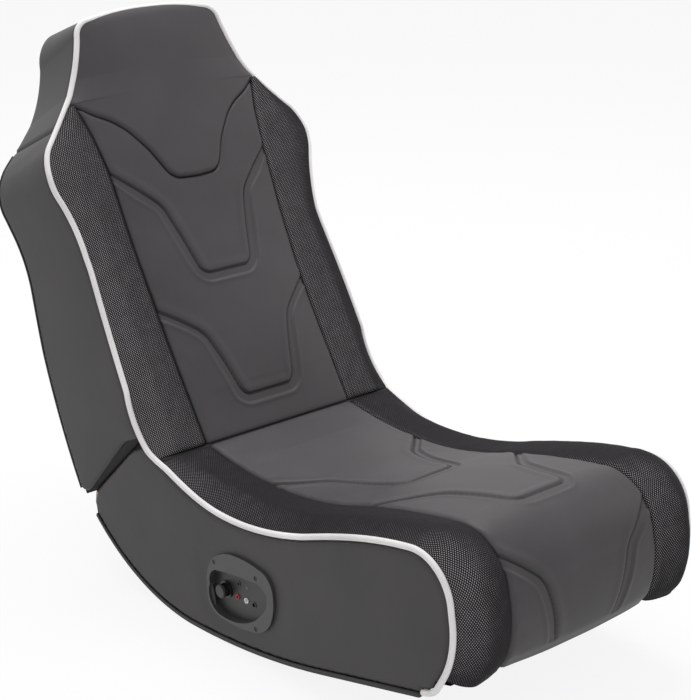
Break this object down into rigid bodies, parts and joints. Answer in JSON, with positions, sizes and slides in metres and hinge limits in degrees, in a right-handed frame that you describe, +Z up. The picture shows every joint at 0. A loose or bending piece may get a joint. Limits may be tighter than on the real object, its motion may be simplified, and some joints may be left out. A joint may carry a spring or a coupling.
{
  "type": "folding floor rocker chair",
  "caption": "Legless padded floor rocker for gaming, with curved side runners, a tall folding back with headrest, shoulder speakers and a side panel of audio controls.",
  "frame": {"origin": "on the floor, under the middle of the chair's overall box", "axes": "+Z up, the sitter faces -Y, +X to the sitter's left; the audio controls are on the -X side"},
  "size_m": [0.4574, 0.9926, 0.77],
  "materials": {
    "pad_grey": "satin",
    "mesh_black": "matte",
    "cover_grey": "satin",
    "piping_white": "satin",
    "rear_black": "matte",
    "runner_black": "matte",
    "bezel_grey": "satin",
    "plate_black": "satin",
    "knob_black": "gloss",
    "socket_red": "gloss",
    "socket_white": "gloss",
    "socket_black": "gloss",
    "led_clear": "gloss",
    "circuit_green": "satin",
    "housing_black": "matte",
    "cone_black": "matte",
    "screw_black": "satin",
    "steel_plated": "satin",
    "plywood": "matte"
  },
  "bodies": {
    "seat": {"seat_side_frame_left": "plywood", "seat_side_frame_right": "plywood", "seat_hinge_board": "plywood", "seat_front_rail": "plywood", "seat_middle_rail": "plywood", "seat_rear_rail": "plywood", "seat_deck": "plywood", "seat_centre_cushion": "pad_grey", "seat_bolster_left": "mesh_black", "seat_bolster_right": "mesh_black", "seat_side_cover_left": "cover_grey", "seat_side_cover_right": "cover_grey", "seat_piping_left": "piping_white", "seat_piping_right": "piping_white", "rocker_strip_left": "runner_black", "rocker_strip_right": "runner_black", "seat_bottom_panel": "plywood", "control_bezel": "bezel_grey", "control_faceplate": "plate_black", "control_housing": "housing_black", "amplifier_board": "circuit_green", "volume_potentiometer": "steel_plated", "headphone_socket": "socket_black", "red_line_socket": "socket_red", "white_line_socket": "socket_white", "power_inlet": "socket_black", "status_led": "led_clear", "bezel_screws": "screw_black", "seat_hinge_leaf_left": "steel_plated", "seat_hinge_leaf_right": "steel_plated", "hinge_pins": "steel_plated", "seat_hinge_screws": "steel_plated"},
    "back": {"back_hinge_leaf_left": "steel_plated", "back_hinge_leaf_right": "steel_plated", "back_hinge_screws": "steel_plated", "back_side_frame_left": "plywood", "back_side_frame_right": "plywood", "headrest_frame": "plywood", "back_hinge_board": "plywood", "back_corner_block_left": "plywood", "back_corner_block_right": "plywood", "back_middle_rail": "plywood", "back_shoulder_rail": "plywood", "back_deck": "plywood", "back_centre_cushion": "pad_grey", "headrest_pad": "pad_grey", "back_bolster_left": "mesh_black", "back_bolster_right": "mesh_black", "back_side_cover_left": "cover_grey", "back_side_cover_right": "cover_grey", "headrest_side_cover": "cover_grey", "back_piping": "piping_white", "rear_cover": "rear_black", "speaker_frame_left": "housing_black", "speaker_frame_right": "housing_black", "speaker_cone_left": "cone_black", "speaker_cone_right": "cone_black", "speaker_magnets": "steel_plated"},
    "volume_control": {"volume_knob": "knob_black", "volume_shaft": "steel_plated"}
  },
  "joints": [
    {"name": "back_fold", "type": "hinge", "parent": "seat", "child": "back", "pos_m": [0, 0.09, 0.21494], "axis": [1, 0, 0], "range_deg": [0, 96]},
    {"name": "volume_turn", "type": "hinge", "parent": "seat", "child": "volume_control", "pos_m": [-0.203, -0.0465, 0.0785], "axis": [-1, 0, 0], "range_deg": [0, 280]}
  ]
}
